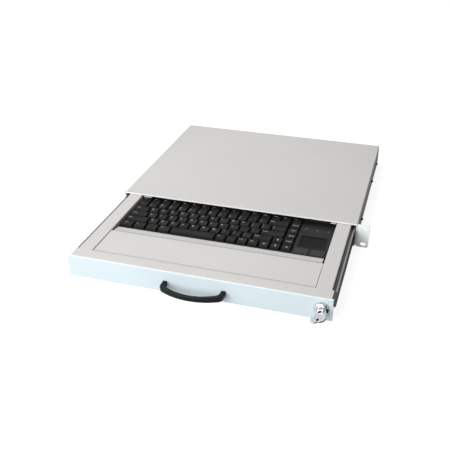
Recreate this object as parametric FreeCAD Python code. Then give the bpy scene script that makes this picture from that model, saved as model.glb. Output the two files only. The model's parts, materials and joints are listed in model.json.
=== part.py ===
import FreeCAD, Part
import math
import os

# Rack keyboard drawer, one unit high, in millimetres. X runs to the right, Y to the back and Z up.
# The origin is the centre of the four rack slots, on the front face of the ears.
# The drawer is modelled where it stands at rest, pulled open by drawer_opening.

# Rack ears
rack_width = 482.6
slot_inset = 8.75
slot_pitch_z = 31.75
slot_length = 10.3
slot_width = 6.8
ear_sheet = 2.0
ear_leg = 20.0
ear_leg_rise = 28.0
ear_corner = 3.0

# Housing
housing_width = 440.0
housing_depth = 370.0
housing_height = 43.6
sheet = 1.2
bend = 0.8
cover_skirt = 40.0
hem_depth = 9.0
hem_setback = 0.6
cable_slot_width = 60.0
cable_slot_height = 22.0

# Drawer
drawer_opening = 232.5
slide_travel = 250.0
panel_width = 431.0
panel_height = 38.0
panel_sheet = 3.0
panel_edge = 0.8
tray_width = 413.0
tray_depth = 340.0
tray_lift = 1.6
deck_width = 418.6
deck_drop = 3.3
strip_width = 24.8
front_strip = 23.0
front_strip_overhang = 3.0
deck_lip = 7.5
deck_outer_lip = 3.0
lip_relief = 0.3
palm_front_seam = 0.7
palm_side_seam = 1.0
palm_drop = 1.0
palm_bend = 0.4
palm_step = 0.8
palm_lap = 6.0
palm_slope_depth = 21.0
palm_overhang = 3.0
palm_rear_gap = 0.4
palm_end_notch = 2.5

# Ball slides
rail_depth = 8.0
rail_height = 18.4
rail_front = 24.0
rail_rear_gap = 18.0
channel_depth = 9.9
channel_height = 28.0
channel_front_gap = 26.5
channel_lip = 2.4
channel_bead = 1.2
channel_bead_depth = 0.5
channel_bead_inset = 4.6
slide_bend = 0.6
ball_radius = 1.6
ball_gap = 0.2
balls_per_race = 3
cage_sheet = 0.8
cage_gap = 0.6
cage_flange = 5.6
cage_pocket_gap = 0.15

# Fasteners
screw_hole_gap = 0.3
round_sides = 20
head_sides = 8
shank_sides = 6
side_screw_shares = (0.17, 0.622, 0.865)
side_screw_head_radius = 2.2
side_screw_head = 4.0
side_screw_radius = 1.4
ear_screw_head_radius = 3.2
ear_screw_head = 1.6
ear_screw_radius = 1.6
ear_screw_pitch = 14.0
panel_screw_head_radius = 3.2
panel_screw_head = 2.0
panel_screw_radius = 1.6
panel_screw_offset = 120.0
panel_screw_depth = 2.0
channel_screw_rows = (60.0, 300.0)
channel_screw_head_radius = 3.2
channel_screw_head = 2.0
channel_screw_radius = 1.6

# Handle
handle_pitch = 96.0
handle_post = 7.2
handle_height = 9.2
handle_reach = 31.0
handle_shoulder = 17.2
handle_bar = 4.8
handle_corner = 11.0
handle_edge = 1.2
handle_drop = 2.7
handle_screw_radius = 2.0
handle_screw_head_radius = 3.6
handle_screw_head = 2.4
handle_screw_depth = 8.0

# Lock
lock_inset = 17.0
lock_rise = 1.0
lock_flange_radius = 11.5
lock_flange = 6.0
lock_flange_round = 2.2
lock_body_radius = 8.0
lock_body = 18.5
lock_nut_flats = 20.0
lock_nut = 4.0
plug_radius = 5.8
plug_gap = 0.05
plug_proud = 0.6
tang = 7.0
cam_sheet = 2.0
cam_reach = 18.2
cam_width = 13.0
cam_gap = 1.0
cam_screw_head_radius = 4.2
cam_screw_head = 2.2
strike_height = 14.0
strike_tab = 4.2
strike_foot = 12.0
lock_bay_side = 26.0
lock_bay_top = 11.5

# Key of the lock, turned a little from level as it stands in the keyhole
key_turn = 20.0
key_sheet = 2.2
key_bow_sheet = 3.0
key_blade_width = 8.0
key_blade = 12.0
key_slot_gap = 0.3
key_neck = 9.0
key_neck_width = 9.0
key_bow_radius = 8.0
key_lobe_offset = 3.9
key_bow_middle = 14.5
key_lobe_middle = 21.0
key_ring_hole_radius = 1.9
key_ring_hole_middle = 24.0

# Keyboard case
keyboard_width = 366.6
keyboard_depth = 133.5
keyboard_setback = 115.0
standoff_height = 9.0
standoff_flats = 8.0
standoff_inset = 20.0
case_wall = 3.0
case_ledge = 2.0
case_floor = 2.0
bezel_wall = 2.0
bezel_drop = 6.7
mat_margin = 0.3
back_plate_sheet = 1.0
membrane_sheet = 0.5
mat_sheet = 0.8
board_sheet = 1.6
board_width = 70.0
board_depth = 30.0
board_boss = 3.0
board_boss_flats = 7.0
rim_rise = 1.1
clip_left_inset = 2.8
clip_left_width = 14.5
clip_right_inset = 0.4
clip_right_width = 9.4
clip_reach = 16.3
clip_gap = 0.8
clip_foot = 12.0

# Keys
key_pitch = 19.05
key_gap = 1.45
key_drop = 3.3
cap_height = 5.6
cap_side_taper = 1.3
cap_front_taper = 1.7
cap_rear_taper = 0.7
key_travel = 2.0
key_rest_gap = 0.4
stem_side = 5.2
stem_gap = 0.3
stem_reach = 1.1
guide_sheet = 1.5
wide_key_units = 2.2
wide_stem_share = 0.36
dome_base = 9.0
dome_top = 5.6
dome_clear = 0.2
field_left = 2.3
field_front = 9.0
nav_gap = 1.3

# Touch pad
pad_plate_gap = 1.4
pad_plate_setback = 3.4
pad_plate_depth = 92.5
pad_plate_rise = 2.6
pad_width = 44.0
pad_depth = 35.0
pad_setback = 28.0
pad_pocket = 1.4
pad_sheet = 1.0
pad_ridge = 1.4
pad_ridge_height = 0.7
button_width = 25.0
button_depth = 18.6
button_setback = 5.0
button_rise = 0.7
button_skirt = 3.6
button_gap = 0.3
button_rib = 1.6
button_travel = 0.8
button_switch = 1.4
button_switch_side = 6.0
lamp_setback = 3.4
lamp_width = 4.0
lamp_depth = 2.0
lamp_pitch = 19.2
lamp_proud = 0.3

# Working edges that follow from the sizes above
top = housing_height / 2
slot_pitch_x = rack_width - 2 * slot_inset
side_screw_rows = [housing_depth * share for share in side_screw_shares]
cover_half = housing_width / 2
chassis_half = cover_half - sheet
chassis_inner = chassis_half - sheet
floor_top = sheet - top
panel_front = -drawer_opening
panel_back = panel_front + panel_sheet
tray_half = tray_width / 2
tray_bottom = floor_top + tray_lift
tray_floor_top = tray_bottom + sheet
tray_rear = panel_back + tray_depth
deck_top = top - deck_drop
deck_under = deck_top - sheet
deck_half = deck_width / 2
palm_top = deck_top - palm_drop
well_half = deck_half - strip_width
palm_front = panel_back + front_strip + palm_front_seam
lock_x = panel_width / 2 - lock_inset
lock_axis_rear = panel_front + lock_body
case_half = keyboard_width / 2
case_front = panel_front + keyboard_setback
case_rear = case_front + keyboard_depth
palm_end = case_front + palm_overhang
palm_rear = palm_end - palm_slope_depth
case_bottom = tray_floor_top + standoff_height
bezel_top = deck_top - bezel_drop
key_top = deck_top - key_drop
rim_top = key_top + rim_rise
cap_base = key_top - cap_height
guide_top = cap_base - key_travel - key_rest_gap
guide_bottom = guide_top - guide_sheet
stem_bottom = guide_bottom - stem_reach
dome_peak = stem_bottom - dome_clear
mat_top = stem_bottom - key_travel - key_rest_gap
mat_bottom = mat_top - mat_sheet
membrane_bottom = mat_bottom - membrane_sheet
ledge_top = membrane_bottom - back_plate_sheet
field_x = -case_half + field_left
main_right = field_x + 15 * key_pitch
nav_left = main_right + nav_gap
nav_right = nav_left + key_pitch
field_y = case_front + field_front
field_rear = field_y + 6 * key_pitch
pad_left = nav_right + pad_plate_gap
pad_rear = case_front + pad_plate_depth
pad_plate_top = bezel_top + pad_plate_rise
pad_middle = (pad_left + case_half) / 2


def at(axis, u, v, w):
    """A point from two coordinates across an axis and one along it."""
    if axis == "x":
        return FreeCAD.Vector(w, u, v)
    if axis == "y":
        return FreeCAD.Vector(u, w, v)
    return FreeCAD.Vector(u, v, w)


def across(axis, point):
    """The two coordinates of a point across an axis."""
    if axis == "x":
        return point.y, point.z
    if axis == "y":
        return point.x, point.z
    return point.x, point.y


def block(x0, x1, y0, y1, z0, z1):
    """A rectangular block between two corners."""
    return Part.makeBox(x1 - x0, y1 - y0, z1 - z0, FreeCAD.Vector(x0, y0, z0))


def prism(axis, points, start, end):
    """A closed outline pushed along an axis."""
    corners = [at(axis, u, v, start) for u, v in points]
    outline = Part.makePolygon(corners + corners[:1])
    return Part.Face(outline).extrude(at(axis, 0, 0, end - start))


def rod(axis, u, v, start, end, radius):
    """A round bar along an axis."""
    return Part.makeCylinder(radius, end - start, at(axis, u, v, start), at(axis, 0, 0, 1))


def faceted(axis, u, v, start, end, radius, sides):
    """A bar with flat sides along an axis, for the small round shapes that repeat."""
    turns = [2 * math.pi * k / sides for k in range(sides)]
    return prism(axis, [(u + radius * math.cos(t), v + radius * math.sin(t)) for t in turns], start, end)


def hexagon(axis, u, v, start, end, flats):
    """A six-sided bar along an axis, by its width across flats."""
    return faceted(axis, u, v, start, end, flats / math.sqrt(3), 6)


def frustum(base, face, low, high):
    """A tapered block between two level rectangles, each given as x0, x1, y0, y1."""
    solid = Part.makeWedge(base[0], low, -base[3], -face[3], face[0], base[1], high, -base[2], -face[2], face[1])
    solid.rotate(FreeCAD.Vector(0, 0, 0), FreeCAD.Vector(1, 0, 0), 90)
    return solid


def edges_along(solid, axis, places):
    """The solid's edges that run along an axis at the given places."""
    found = []
    for edge in solid.Edges:
        ends = [across(axis, vertex.Point) for vertex in edge.Vertexes]
        for place in places:
            if len(ends) == 2 and all(math.dist(end, place) < 1e-4 for end in ends):
                found.append(edge)
    return found


def folded(axis, points, thickness, start, end, radius=bend, rounded=True):
    """Sheet folded along a line of points, lying on the line's left, with rounded or flattened bends."""
    steps = [(b[0] - a[0], b[1] - a[1]) for a, b in zip(points, points[1:])]
    lefts = [(-dv / math.hypot(du, dv), du / math.hypot(du, dv)) for du, dv in steps]
    inner = [(points[0][0] + lefts[0][0] * thickness, points[0][1] + lefts[0][1] * thickness)]
    tight = []
    wide = []
    for k in range(1, len(points) - 1):
        a = lefts[k - 1]
        b = lefts[k]
        reach = thickness / (1 + a[0] * b[0] + a[1] * b[1])
        corner = (points[k][0] + (a[0] + b[0]) * reach, points[k][1] + (a[1] + b[1]) * reach)
        inner.append(corner)
        turns_left = steps[k - 1][0] * steps[k][1] > steps[k - 1][1] * steps[k][0]
        tight.append(corner if turns_left else points[k])
        wide.append(points[k] if turns_left else corner)
    last = points[-1]
    inner.append((last[0] + lefts[-1][0] * thickness, last[1] + lefts[-1][1] * thickness))
    solid = prism(axis, list(points) + inner[::-1], start, end)
    if not rounded:
        solid = solid.makeChamfer(radius / 2, edges_along(solid, axis, tight))
        return solid.makeChamfer((radius + thickness) / 2, edges_along(solid, axis, wide))
    solid = solid.makeFillet(radius, edges_along(solid, axis, tight))
    return solid.makeFillet(radius + thickness, edges_along(solid, axis, wide))


def mirrored(solid):
    """The same piece on the other side of the drawer."""
    return solid.mirror(FreeCAD.Vector(0, 0, 0), FreeCAD.Vector(1, 0, 0))


def screw(axis, u, v, seat, way, head_radius, head, shank_radius, shank):
    """A pan-head screw: its head stands out of the seat and its shank goes in, against the way given."""
    head_end = seat + way * head
    shank_end = seat - way * shank
    cap = faceted(axis, u, v, min(seat, head_end), max(seat, head_end), head_radius, head_sides)
    return cap.fuse(faceted(axis, u, v, min(seat, shank_end), max(seat, shank_end), shank_radius, shank_sides))


def screw_hole(axis, u, v, start, end, shank_radius):
    """What a screw's clearance hole takes away."""
    return faceted(axis, u, v, start, end, shank_radius + screw_hole_gap, shank_sides)


def save(node, *solids):
    """Writes the solids of one node."""
    shape = solids[0] if len(solids) == 1 else Part.makeCompound(list(solids))
    shape.exportStep("parts/" + node + ".step")


def housing():
    """The folded chassis, the cover over it and the strike for the lock."""
    upright = top - sheet - bend
    tray = [(-chassis_half, upright), (-chassis_half, -top), (chassis_half, -top), (chassis_half, upright)]
    chassis = folded("y", tray, sheet, 0, housing_depth)
    rear = block(-chassis_inner, chassis_inner, housing_depth - sheet, housing_depth, floor_top, upright)
    slot = block(-cable_slot_width / 2, cable_slot_width / 2, housing_depth - 2 * sheet, housing_depth + sheet,
                 upright - cable_slot_height, top)
    chassis = chassis.fuse(rear).cut(slot)

    skirt = top - cover_skirt
    lid = [(cover_half, skirt), (cover_half, top), (-cover_half, top), (-cover_half, skirt)]
    cover = folded("y", lid, sheet, 0, housing_depth)
    hem_half = chassis_inner - hem_setback
    cover = cover.fuse(block(-hem_half, hem_half, 0, hem_depth, top - 2 * sheet, top - sheet))

    web = chassis_inner - sheet
    screws = []
    for y in side_screw_rows:
        hole = screw_hole("x", y, 0, web - sheet, cover_half + sheet, side_screw_radius)
        for bore in (hole, mirrored(hole)):
            chassis = chassis.cut(bore)
            cover = cover.cut(bore)
        bolt = screw("x", y, 0, cover_half, 1, side_screw_head_radius, side_screw_head, side_screw_radius,
                     cover_half - web)
        screws.extend((bolt, mirrored(bolt)))

    cam_closed = lock_axis_rear + drawer_opening
    strike_rear = cam_closed - cam_gap
    bracket = [(chassis_inner, strike_rear - strike_foot), (chassis_inner, strike_rear),
               (chassis_inner - strike_tab, strike_rear)]
    strike = folded("z", bracket, sheet, lock_rise - strike_height / 2, lock_rise + strike_height / 2, bend, False)
    save("housing_chassis", chassis)
    save("top_cover", cover)
    save("side_screws", *screws)
    save("lock_strike", strike)


def ears():
    """The two rack brackets with their slots, and the screws that hold them to the cover's skirt."""
    tip = rack_width / 2
    angle = [(cover_half, ear_leg), (cover_half, 0), (tip, 0)]
    ear = folded("z", angle, ear_sheet, -top, top, bend, False)
    ear = ear.makeFillet(ear_corner, edges_along(ear, "y", [(tip, top), (tip, -top)]))
    straight = (slot_length - slot_width) / 2
    x = slot_pitch_x / 2
    for z in (-slot_pitch_z / 2, slot_pitch_z / 2):
        half = slot_width / 2
        ear = ear.cut(block(x - straight, x + straight, -ear_sheet, 2 * ear_sheet, z - half, z + half))
        for end in (x - straight, x + straight):
            ear = ear.cut(rod("y", end, z, -ear_sheet, 2 * ear_sheet, half))
    leg_top = ear_leg_rise - top
    ear = ear.cut(block(cover_half - sheet, cover_half + ear_sheet + bend, ear_sheet + bend, ear_leg + sheet,
                        leg_top, top + sheet))
    seat = cover_half + ear_sheet
    y = (ear_sheet + ear_leg) / 2
    middle = (leg_top - top) / 2
    screws = []
    for z in (middle - ear_screw_pitch / 2, middle + ear_screw_pitch / 2):
        ear = ear.cut(screw_hole("x", y, z, cover_half - sheet, seat + sheet, ear_screw_radius))
        bolt = screw("x", y, z, seat, 1, ear_screw_head_radius, ear_screw_head, ear_screw_radius, ear_sheet)
        screws.extend((bolt, mirrored(bolt)))
    save("ear_right", ear)
    save("ear_left", mirrored(ear))
    save("ear_screws", *screws)


def channel_screw_holes():
    """The holes in the right tray wall and channel for the screws between them."""
    return [screw_hole("x", panel_back + row, 0, tray_half - 2 * sheet, tray_half + 2 * sheet, channel_screw_radius)
            for row in channel_screw_rows]


def faceted_ball(x, y, z):
    """A slide's ball, with flat faces that all touch its round."""
    r = ball_radius
    cube = block(x - r, x + r, y - r, y + r, z - r, z + r)
    return cube.makeChamfer(r * (2 - math.sqrt(2)), cube.Edges)


def slides():
    """The fixed rails, the drawer's channels, and the cages with their balls between them."""
    flange = rail_height / 2
    tip = chassis_inner - rail_depth
    section = [(tip, -flange), (chassis_inner, -flange), (chassis_inner, flange), (tip, flange)]
    rail = folded("y", section, sheet, rail_front, housing_depth - rail_rear_gap, slide_bend, False)
    for y in side_screw_rows:
        rail = rail.cut(screw_hole("x", y, 0, tip, chassis_half, side_screw_radius))
    save("slide_rail_right", rail)
    save("slide_rail_left", mirrored(rail))

    half = channel_height / 2
    mouth = tray_half + channel_depth
    section = [(mouth, half - channel_lip), (mouth, half), (tray_half, half), (tray_half, -half), (mouth, -half),
               (mouth, channel_lip - half)]
    channel_front = panel_back + channel_front_gap
    channel = folded("y", section, sheet, channel_front, tray_rear, slide_bend, False)
    bead = tray_half + channel_bead_inset
    for z in (half - channel_bead_depth, -half):
        channel = channel.cut(block(bead, bead + channel_bead, channel_front, tray_rear, z, z + channel_bead_depth))
    screws = []
    seat = tray_half - sheet
    for hole in channel_screw_holes():
        channel = channel.cut(hole)
    for row in channel_screw_rows:
        bolt = screw("x", panel_back + row, 0, seat, -1, channel_screw_head_radius, channel_screw_head,
                     channel_screw_radius, 2 * sheet)
        screws.extend((bolt, mirrored(bolt)))
    save("slide_channel_right", channel)
    save("slide_channel_left", mirrored(channel))
    save("channel_screws", *screws)

    race = flange + ball_gap + ball_radius
    web = tray_half + sheet + cage_gap
    lip = web + cage_flange
    spare = slide_travel - drawer_opening
    cage_half = (tray_rear - rail_front - spare) / 2
    middle = (tray_rear + rail_front) / 2
    outer = race + cage_sheet / 2
    section = [(lip, outer), (web, outer), (web, -outer), (lip, -outer)]
    cage = folded("y", section, cage_sheet, middle - cage_half, middle + cage_half, slide_bend, False)
    step = 2 * cage_half / balls_per_race
    x = (web + cage_sheet + lip) / 2
    pocket = ball_radius + cage_pocket_gap
    balls = []
    for k in range(balls_per_race):
        y = middle + (k - (balls_per_race - 1) / 2) * step
        for z in (-race, race):
            cage = cage.cut(block(x - pocket, x + pocket, y - pocket, y + pocket, z - ball_radius, z + ball_radius))
            ball = faceted_ball(x, y, z)
            balls.extend((ball, mirrored(ball)))
    save("ball_cage_right", cage)
    save("ball_cage_left", mirrored(cage))
    save("slide_balls", *balls)


def drawer():
    """The drawer's tray and its back, the strips round its top and the palm rest."""
    section = [(-tray_half, deck_under), (-tray_half, tray_bottom), (tray_half, tray_bottom), (tray_half, deck_under)]
    tray = folded("y", section, sheet, panel_back, tray_rear, bend, False)
    inner = tray_half - sheet
    back = block(-inner, inner, tray_rear - sheet, tray_rear, tray_floor_top, deck_under).cut(tray)
    save("drawer_back", back.cut(block(-cable_slot_width / 2, cable_slot_width / 2, tray_rear - 2 * sheet,
                                       tray_rear + sheet, deck_under - cable_slot_height, top)))
    tray = tray.fuse(block(-inner, inner, panel_back, panel_back + sheet, tray_floor_top, deck_under))
    tray = tray.cut(block(lock_x - lock_bay_side, tray_half + sheet, panel_back + sheet,
                          panel_back + channel_front_gap, tray_bottom - sheet, lock_rise + lock_bay_top))
    hole = lock_body_radius + screw_hole_gap
    tray = tray.cut(rod("y", lock_x, lock_rise, panel_back - sheet, panel_back + 2 * sheet, hole))
    for x, z in handle_points():
        tray = tray.cut(screw_hole("y", x, z, panel_front, panel_back + 2 * sheet, handle_screw_radius))
    for x in (-panel_screw_offset, panel_screw_offset):
        tray = tray.cut(screw_hole("y", x, 0, panel_front, panel_back + 2 * sheet, panel_screw_radius))
    for hole in channel_screw_holes():
        tray = tray.cut(hole).cut(mirrored(hole))
    save("drawer_tray", tray)

    side = [(deck_half, deck_top - deck_outer_lip), (deck_half, deck_top), (well_half, deck_top),
            (well_half, deck_top - deck_lip)]
    strip = folded("y", side, sheet, panel_back, tray_rear, bend, False)
    front_end = panel_back + front_strip
    front = [(front_end, deck_top - deck_lip), (front_end, deck_top), (panel_back, deck_top)]
    overlap = well_half + strip_width / 2
    deck = strip.fuse(mirrored(strip)).fuse(folded("x", front, sheet, -overlap, overlap, bend, False))
    front_half = deck_half + front_strip_overhang
    deck = deck.fuse(block(overlap - strip_width / 2, front_half, panel_back, front_end, deck_under, deck_top))
    deck = deck.fuse(block(-front_half, strip_width / 2 - overlap, panel_back, front_end, deck_under, deck_top))
    for y in (panel_back, tray_rear - sheet):
        deck = deck.cut(block(-tray_half, tray_half, y - lip_relief, y + sheet + lip_relief, tray_floor_top, deck_under))
    save("deck_frame", deck.removeSplitter())

    crest = palm_top - palm_step
    slope = [(palm_end, bezel_top + palm_rear_gap + sheet), (palm_rear, crest), (palm_rear - palm_lap, crest)]
    plate = [(palm_rear, palm_top), (palm_front, palm_top), (palm_front, tray_floor_top)]
    palm_half = well_half - palm_side_seam
    palm = folded("x", plate, sheet, -palm_half, palm_half, palm_bend)
    palm = palm.fuse(folded("x", slope, sheet, -palm_half, palm_half, palm_bend)).removeSplitter()
    notch = block(palm_half - palm_end_notch, palm_half + sheet, palm_rear + sheet, palm_end + sheet,
                  tray_floor_top, top)
    save("palm_rest", palm.cut(notch).cut(mirrored(notch)))


def handle_points():
    """Where the handle's two screws sit on the front panel."""
    return [(-handle_pitch / 2, -handle_drop), (handle_pitch / 2, -handle_drop)]


def bow(half, shoulder, reach, corner, low, high):
    """A bow standing forward of the panel: two legs, rounded corners and an arched front."""
    legs = [FreeCAD.Vector(-half, panel_front, low), FreeCAD.Vector(-half, panel_front - shoulder, low)]
    ends = [FreeCAD.Vector(half, panel_front - shoulder, low), FreeCAD.Vector(half, panel_front, low)]
    crown = FreeCAD.Vector(0, panel_front - reach, low)
    edges = [Part.LineSegment(*legs).toShape(), Part.Arc(legs[1], crown, ends[0]).toShape(),
             Part.LineSegment(*ends).toShape(), Part.LineSegment(ends[1], legs[0]).toShape()]
    solid = Part.Face(Part.Wire(edges)).extrude(FreeCAD.Vector(0, 0, high - low))
    bends = [(-half, panel_front - shoulder), (half, panel_front - shoulder)]
    return solid.makeFillet(corner, edges_along(solid, "z", bends))


def front():
    """The front panel with its bow handle, and the screws behind them."""
    half = panel_width / 2
    panel = block(-half, half, panel_front, panel_back, -panel_height / 2, panel_height / 2)
    face = [edge for edge in panel.Edges if all(abs(v.Y - panel_front) < 1e-6 for v in edge.Vertexes)]
    panel = panel.makeFillet(panel_edge, face)
    panel = panel.cut(rod("y", lock_x, lock_rise, panel_front - sheet, panel_back + sheet,
                          lock_body_radius + screw_hole_gap))

    low = -handle_drop - handle_height / 2
    high = low + handle_height
    outer = (handle_pitch + handle_post) / 2
    inner = (handle_pitch - handle_post) / 2
    grip = bow(outer, handle_shoulder, handle_reach, handle_corner, low, high)
    rims = [edge for edge in grip.Edges if abs(edge.Vertexes[0].Z - edge.Vertexes[-1].Z) < 1e-6]
    rims = [edge for edge in rims if max(v.Y for v in edge.Vertexes) < panel_front - 1e-3
            or min(v.Y for v in edge.Vertexes) < panel_front - 1e-3]
    grip = grip.makeChamfer(handle_edge, rims)
    gap_shoulder = handle_shoulder - handle_bar
    grip = grip.cut(bow(inner, gap_shoulder, handle_reach - handle_bar, handle_corner - handle_edge,
                        low - sheet, high + sheet))

    seat = panel_back + sheet
    grip_screws = []
    for x, z in handle_points():
        reach = panel_front - handle_screw_depth
        panel = panel.cut(screw_hole("y", x, z, panel_front - sheet, panel_back + sheet, handle_screw_radius))
        grip = grip.cut(screw_hole("y", x, z, reach - screw_hole_gap, panel_front + sheet, handle_screw_radius))
        grip_screws.append(screw("y", x, z, seat, 1, handle_screw_head_radius, handle_screw_head,
                                 handle_screw_radius, seat - reach))
    panel_screws = []
    for x in (-panel_screw_offset, panel_screw_offset):
        reach = panel_back - panel_screw_depth
        panel = panel.cut(screw_hole("y", x, 0, reach - screw_hole_gap, panel_back + sheet, panel_screw_radius))
        panel_screws.append(screw("y", x, 0, seat, 1, panel_screw_head_radius, panel_screw_head,
                                  panel_screw_radius, seat - reach))
    save("front_panel", panel)
    save("handle", grip)
    save("handle_screws", *grip_screws)
    save("panel_screws", *panel_screws)


def turned(solid):
    """A piece of the lock turned to the key's angle about the lock's axis."""
    solid.rotate(FreeCAD.Vector(lock_x, 0, lock_rise), FreeCAD.Vector(0, -1, 0), key_turn)
    return solid


def lock():
    """The cam lock: barrel, nut, and the plug that turns with its cam and key."""
    nose = panel_front - lock_flange
    edge = lock_flange_radius - lock_flange_round
    shoulder = nose + lock_flange_round
    bore = plug_radius + plug_gap
    z = lock_rise
    outline = [FreeCAD.Vector(lock_x + r, y, z) for r, y in (
        (0, panel_front), (0, nose), (edge, nose), (lock_flange_radius, shoulder), (lock_flange_radius, panel_front))]
    section = Part.Face(Part.makePolygon(outline + outline[:1]))
    barrel = section.revolve(FreeCAD.Vector(lock_x, 0, z), FreeCAD.Vector(0, 1, 0), 360)
    barrel = barrel.fuse(faceted("y", lock_x, z, panel_front, lock_axis_rear, lock_body_radius, round_sides))
    save("lock_barrel", barrel.cut(rod("y", lock_x, z, nose, lock_axis_rear, bore)))

    seat = panel_back + sheet
    nut = hexagon("y", lock_x, z, seat, seat + lock_nut, lock_nut_flats)
    save("lock_nut", nut.cut(faceted("y", lock_x, z, seat - sheet, seat + lock_nut + sheet,
                                     lock_body_radius + screw_hole_gap, round_sides)))

    face = nose - plug_proud
    cam_rear = lock_axis_rear + cam_sheet
    plug = rod("y", lock_x, z, face, lock_axis_rear, plug_radius)
    plug = plug.fuse(block(lock_x - tang / 2, lock_x + tang / 2, lock_axis_rear, cam_rear, z - tang / 2, z + tang / 2))
    blade_half = key_blade_width / 2
    slot_half = blade_half + key_slot_gap
    slot_high = key_sheet / 2 + key_slot_gap
    plug = plug.cut(block(lock_x - slot_half, lock_x + slot_half, face - plug_proud, face + key_blade + key_slot_gap,
                          z - slot_high, z + slot_high))
    save("lock_plug", turned(plug))

    cam_half = cam_width / 2
    cam = faceted("y", lock_x, z, lock_axis_rear, cam_rear, cam_half, round_sides)
    cam = cam.fuse(block(lock_x - cam_half, lock_x + cam_half, lock_axis_rear, cam_rear, z - cam_reach, z))
    cam = cam.cut(block(lock_x - tang / 2, lock_x + tang / 2, lock_axis_rear, cam_rear, z - tang / 2, z + tang / 2))
    save("lock_cam", turned(cam))
    save("cam_screw", turned(faceted("y", lock_x, z, cam_rear, cam_rear + cam_screw_head, cam_screw_head_radius,
                                     head_sides)))

    key = block(lock_x - blade_half, lock_x + blade_half, face, face + key_blade, z - key_sheet / 2, z + key_sheet / 2)
    low = z - key_bow_sheet / 2
    high = z + key_bow_sheet / 2
    neck_half = key_neck_width / 2
    key = key.fuse(block(lock_x - neck_half, lock_x + neck_half, face - key_neck, face, low, high))
    key = key.fuse(faceted("z", lock_x, face - key_bow_middle, low, high, key_bow_radius, round_sides))
    for side in (-1, 1):
        key = key.fuse(faceted("z", lock_x + side * key_lobe_offset, face - key_lobe_middle, low, high, key_bow_radius,
                               round_sides))
    key = key.cut(faceted("z", lock_x, face - key_ring_hole_middle, low - sheet, high + sheet, key_ring_hole_radius,
                          head_sides))
    save("lock_key", turned(key.removeSplitter()))


def keyboard_case():
    """The keyboard's base tub, its standoffs on the tray, and the clips that hold its rear corners."""
    tub = block(-case_half, case_half, case_front, case_rear, case_bottom, guide_bottom)
    inset = case_wall
    tub = tub.cut(block(inset - case_half, case_half - inset, case_front + inset, case_rear - inset,
                        ledge_top, guide_bottom + sheet))
    inset = case_wall + case_ledge
    tub = tub.cut(block(inset - case_half, case_half - inset, case_front + inset, case_rear - inset,
                        case_bottom + case_floor, ledge_top + sheet))
    board_x = case_half - inset - board_width
    board_y = case_rear - inset - board_depth
    board_z = case_bottom + case_floor + board_boss
    for x in (board_x + board_boss_flats, board_x + board_width - board_boss_flats):
        for y in (board_y + board_boss_flats, board_y + board_depth - board_boss_flats):
            tub = tub.fuse(hexagon("z", x, y, case_bottom + case_floor, board_z, board_boss_flats))
    save("keyboard_base", tub.removeSplitter())
    save("controller_board", block(board_x, board_x + board_width, board_y, board_y + board_depth,
                                   board_z, board_z + board_sheet))
    posts = []
    for x in (standoff_inset - case_half, 0, case_half - standoff_inset):
        for y in (case_front + standoff_inset, case_rear - standoff_inset):
            posts.append(hexagon("z", x, y, tray_floor_top, case_bottom, standoff_flats))
    save("keyboard_standoffs", *posts)

    leg = case_rear + clip_gap
    section = [(case_rear - clip_reach, rim_top), (leg, rim_top), (leg, tray_floor_top),
               (leg + clip_foot, tray_floor_top)]
    left = clip_left_inset - case_half
    right = case_half - clip_right_inset
    save("keyboard_clip_left", folded("x", section, sheet, left, left + clip_left_width, bend, False))
    save("keyboard_clip_right", folded("x", section, sheet, right - clip_right_width, right, bend, False))


def stack():
    """The sheets under the keys: steel back plate, switch membrane and the mat of rubber domes."""
    inset = case_wall + mat_margin
    outline = (inset - case_half, case_half - inset, case_front + inset, case_rear - inset)
    save("back_plate", block(*outline, ledge_top, membrane_bottom))
    save("switch_membrane", block(*outline, membrane_bottom, mat_bottom))
    mat = block(*outline, mat_bottom, mat_top)
    domes = []
    wide = dome_base / 2
    narrow = dome_top / 2
    for x, y, _ in [key for keys in key_layout().values() for key in keys]:
        domes.append(frustum((x - wide, x + wide, y - wide, y + wide), (x - narrow, x + narrow, y - narrow, y + narrow),
                             mat_top, dome_peak))
    save("dome_mat", mat.multiFuse(domes))


def row_keys(row, widths, start):
    """Keys of the given widths side by side in a row, counted from the front, as centre and width."""
    y = field_y + (row + 0.5) * key_pitch
    keys = []
    left = start
    for width in widths:
        keys.append((left + width / 2, y, width))
        left += width
    return keys


def key_layout():
    """Every key by the group it moves with."""
    unit = key_pitch
    left = field_x
    arrows_left = nav_right - 3 * unit
    right_block = arrows_left - 4 * unit
    modifiers = row_keys(0, [1.2 * unit] * 4, left)
    space_left = left + 4.8 * unit
    shift_end = left + 12.25 * unit
    up_left = nav_right - 2 * unit
    return {
        "modifier_keys_left": modifiers,
        "space_bar": row_keys(0, [right_block - space_left], space_left),
        "modifier_keys_right": row_keys(0, [unit] * 4, right_block),
        "arrow_keys": row_keys(0, [unit] * 3, arrows_left) + row_keys(1, [unit], up_left),
        "left_shift_key": row_keys(1, [2.25 * unit], left),
        "lower_letter_keys": row_keys(1, [unit] * 10, left + 2.25 * unit),
        "right_shift_key": row_keys(1, [up_left - shift_end], shift_end),
        "caps_lock_key": row_keys(2, [1.75 * unit], left),
        "home_letter_keys": row_keys(2, [unit] * 11, left + 1.75 * unit),
        "enter_key": row_keys(2, [2.25 * unit], left + 12.75 * unit),
        "tab_key": row_keys(3, [1.5 * unit], left),
        "upper_letter_keys": row_keys(3, [unit] * 12 + [1.5 * unit], left + 1.5 * unit),
        "number_keys": row_keys(4, [unit] * 13, left),
        "backspace_key": row_keys(4, [2 * unit], left + 13 * unit),
        "function_keys": row_keys(5, [(nav_right - left) / 16] * 16, left),
        "navigation_keys": [row_keys(row, [unit], nav_left)[0] for row in (1, 2, 3, 4)],
    }


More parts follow.
